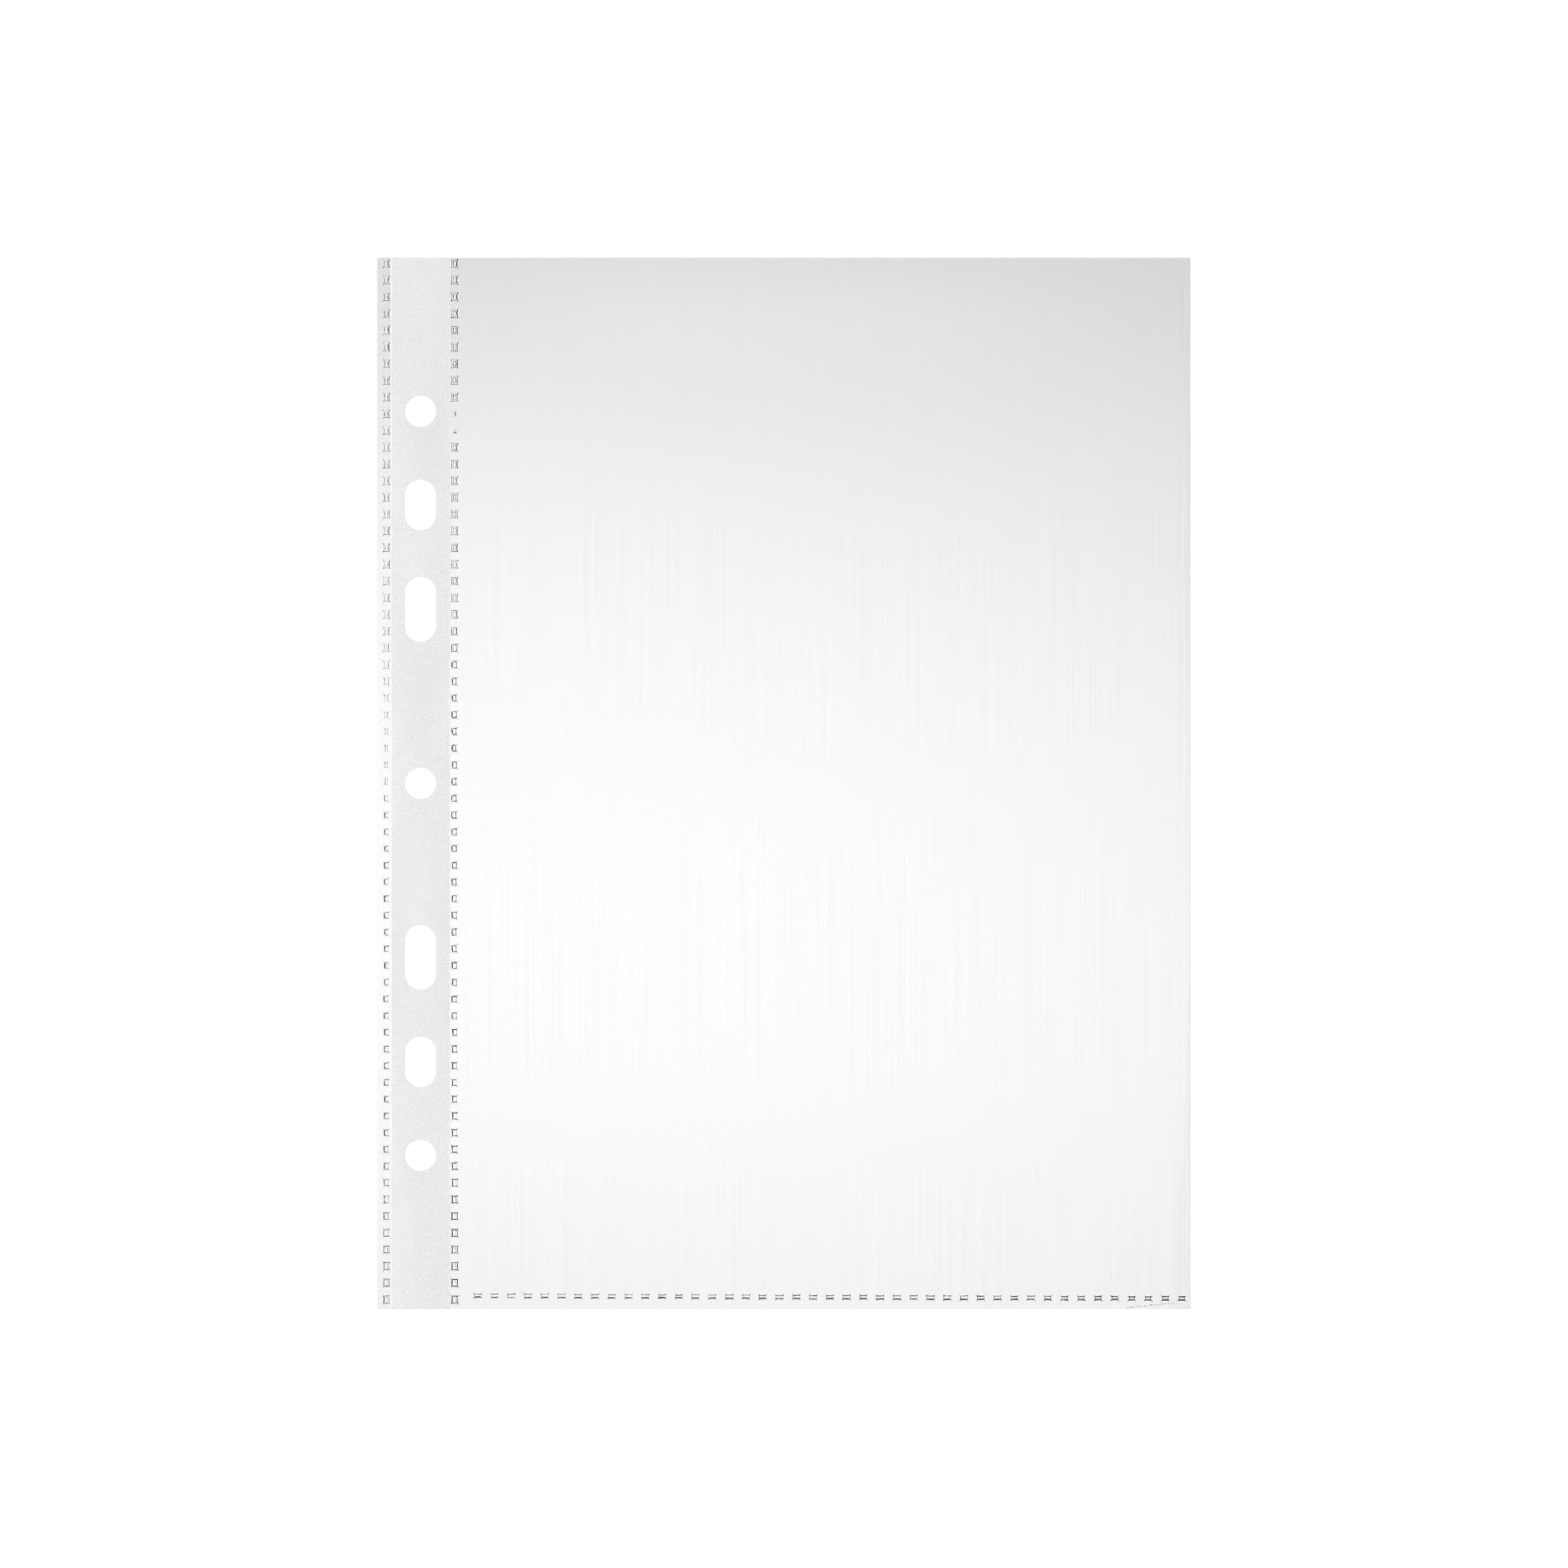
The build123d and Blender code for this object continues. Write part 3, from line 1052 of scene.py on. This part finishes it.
# Painted highlights along the strip's two edges, stronger on the outside
front_margin.data.materials.append(painted_edge_highlight("painted_edge_highlight_outside", 0.6))
front_margin.data.materials.append(painted_edge_highlight("painted_edge_highlight_inside", 0.25))
facing_up = 0.1  # how far a face's normal has to point up for it to lie on the film's front
for face in front_margin.data.polygons:
    for slot, (start, end) in enumerate(highlight_spans, 1):
        if face.normal.z > facing_up and start < face.center.x < end:
            face.material_index = slot
back.data.materials.append(clear)
pocket.data.materials.append(clear)
for obj in (front_margin, back, pocket):
    shade(obj)

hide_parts("front_margin", "front_crease")
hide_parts("back_margin", "back_crease", "back_sheet", "side_fold")
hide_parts("front_sheet", "front_hem")

crease_start = (crease_left, 0, land_level)
crease_end = (crease_right, 0, land_level)
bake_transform(front_margin, "binding_margin", "pocket_back", start=crease_start, end=crease_end)
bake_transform(back, "binding_margin", "pocket_back", start=crease_start, end=crease_end)
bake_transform(pocket, "pocket_back", "pocket_front", start=(0, hem_high.y, 0), end=(0, top, 0))


def hold_sides(obj):
    """The film lifts in a bow: fully at the middle of the mouth, and not at all at its joined sides."""
    weights = obj.data.attributes["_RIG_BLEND"].data
    for vertex, weight in zip(obj.data.vertices, weights):
        share = (vertex.co.x - crease_right) / (fold_left - crease_right)
        weight.value *= math.sin(math.pi * min(1.0, max(0.0, share))) ** 2


hold_sides(pocket)

fused = fused_film()
outer_row = make_spots("outer_weld_spots", outer_spots, outer_style, flat_place)
inner_row = make_spots("inner_weld_spots", inner_spots, inner_style, flat_place)
lower_row = make_spots("bottom_weld_spots", bottom_spots, bottom_style, sloped_place, add_nicks)
for obj, node, body in ((outer_row, "outer_welds", "binding_margin"),
                        (inner_row, "inner_welds", "binding_margin"),
                        (lower_row, "bottom_welds", "pocket_back")):
    obj.data.materials.append(fused)
    shade(obj)
    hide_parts(node)
    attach(obj, body)

strip.data.materials.append(milky_strip())
shade(strip)
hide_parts("reinforcing_strip")
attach(strip, "binding_margin")

# Clear film lying on a floor leaves the floor as bright as it is beside it
for obj in (front_margin, back, pocket, strip, outer_row, inner_row, lower_row):
    obj.visible_shadow = False
    obj.visible_diffuse = False


# Camera, floor and light

frame_width = 326.7 * mm  # what the photograph's frame spans at the sheet
view_height = 1.2
camera_drop = 0.12 * mm  # the sheet sits this far above the middle of the frame
camera_data = bpy.data.cameras.new("camera")
camera_data.sensor_width = 36.0
camera_data.lens = camera_data.sensor_width * view_height / frame_width
camera = bpy.data.objects.new("camera", camera_data)
camera.location = (0, -camera_drop, view_height)
bpy.context.scene.collection.objects.link(camera)
bpy.context.scene.camera = camera


def plane(name, half_width, half_height):
    bm = bmesh.new()
    corners = [(-half_width, -half_height), (half_width, -half_height),
               (half_width, half_height), (-half_width, half_height)]
    bm.faces.new([bm.verts.new((x, y, 0)) for x, y in corners])
    obj = new_object(name, bm)
    return obj


floor_gap = 0.03 * mm
floor_reach = 12
floor_grey = 0.9
floor = plane("floor", floor_reach, floor_reach)
floor.location.z = -floor_gap
floor_paint = Painter("floor")
floor_paint.set("Base Color", (floor_grey, floor_grey, floor_grey, 1))
floor_paint.set("Roughness", 0.9)
floor_paint.set("Specular IOR Level", 0.0)
floor.data.materials.append(floor_paint.material)


class Glow(Nodes):
    """A light that only mirrors see, with a strength that changes over its surface."""

    def __init__(self, obj):
        super().__init__(obj.name)
        self.tree.nodes.remove(self.shader)
        self.x, self.y, self.z = self.axis("X"), self.axis("Y"), self.axis("Z")
        self.material.cycles.emission_sampling = "NONE"
        obj.data.materials.append(self.material)
        obj.visible_camera = False
        obj.visible_diffuse = False
        obj.visible_transmission = False
        obj.visible_shadow = False

    def shine(self, strength):
        emission = self.node("ShaderNodeEmission")
        self.link(strength, emission.inputs["Strength"])
        self.link(emission.outputs["Emission"], self.tree.nodes["Material Output"].inputs["Surface"])


# Overhead card that the film mirrors: brightest left of the middle, fading to a dark ceiling
card_height = 0.9
mirror_scale = 1 + card_height / view_height
glow_centre = (-50 * mm * mirror_scale, -26.5 * mm * mirror_scale)
glow_reach = (0.52, 0.278)
glow_turn = math.radians(-8.9)
glow_strength = 1.96
glow_fall = 1.04  # how fast the glow fades up and down at its middle
glow_lean = 0.4  # how much slower it does so to the right
dark_reach = 3.0
card = plane("overhead_card", dark_reach, dark_reach)
card.location = (*glow_centre, card_height)
card.scale = (*glow_reach, 1)
card.rotation_euler.z = glow_turn
glow = Glow(card)
fade_x = glow.math("MULTIPLY", glow.x, glow.x)
fall = glow.math("SUBTRACT", glow_fall, glow.math("MULTIPLY", glow.x, glow_lean))
fade_y = glow.math("MULTIPLY", glow.math("MULTIPLY", glow.y, glow.y), fall)
fade = glow.math("SUBTRACT", 1.0, glow.math("ADD", fade_x, fade_y), clamp=True)
glow.shine(glow.math("MULTIPLY", fade, glow_strength))

# Soft light panels round the table, brighter to the top, for the film to mirror when seen from the side
panel_radius = 0.9
panel_height = 1.0
panel_light = (0.92, 1.4)  # at the floor and at the top
panel_count = 4
panel_swing = 0.4  # how much brighter a panel is in its middle than on average
ring_sides = 64


def upright_ring(name, radius, height, sides):
    """A wall all round, open above and below."""
    bm = bmesh.new()
    turns = [2 * math.pi * k / sides for k in range(sides)]
    rim = [(radius * math.cos(turn), radius * math.sin(turn)) for turn in turns]
    foot = [bm.verts.new((x, y, 0)) for x, y in rim]
    head = [bm.verts.new((x, y, height)) for x, y in rim]
    for k in range(sides):
        n = (k + 1) % sides
        bm.faces.new((foot[k], foot[n], head[n], head[k]))
    return new_object(name, bm)


panels = upright_ring("light_panels", panel_radius, panel_height, ring_sides)
panel_glow = Glow(panels)
upward = panel_glow.math("MULTIPLY", panel_glow.z, (panel_light[1] - panel_light[0]) / panel_height)
upward = panel_glow.math("ADD", upward, panel_light[0])
around = panel_glow.math("MULTIPLY", panel_glow.math("ARCTAN2", panel_glow.y, panel_glow.x), panel_count)
swing = panel_glow.math("MULTIPLY", panel_glow.math("SINE", around), panel_swing)
panel_glow.shine(panel_glow.math("MULTIPLY", upward, panel_glow.math("ADD", swing, 1.0)))

studio_light = 1.12
world = bpy.data.worlds.new("studio")
world.use_nodes = True
background = world.node_tree.nodes["Background"]
background.inputs["Color"].default_value = (1, 1, 1, 1)
background.inputs["Strength"].default_value = studio_light
scene = bpy.context.scene
scene.world = world
scene.view_settings.view_transform = "Standard"
scene.cycles.transparent_max_bounces = 32
scene.cycles.max_bounces = 5
scene.cycles.diffuse_bounces = 3
scene.cycles.glossy_bounces = 3
scene.cycles.filter_width = 1.0
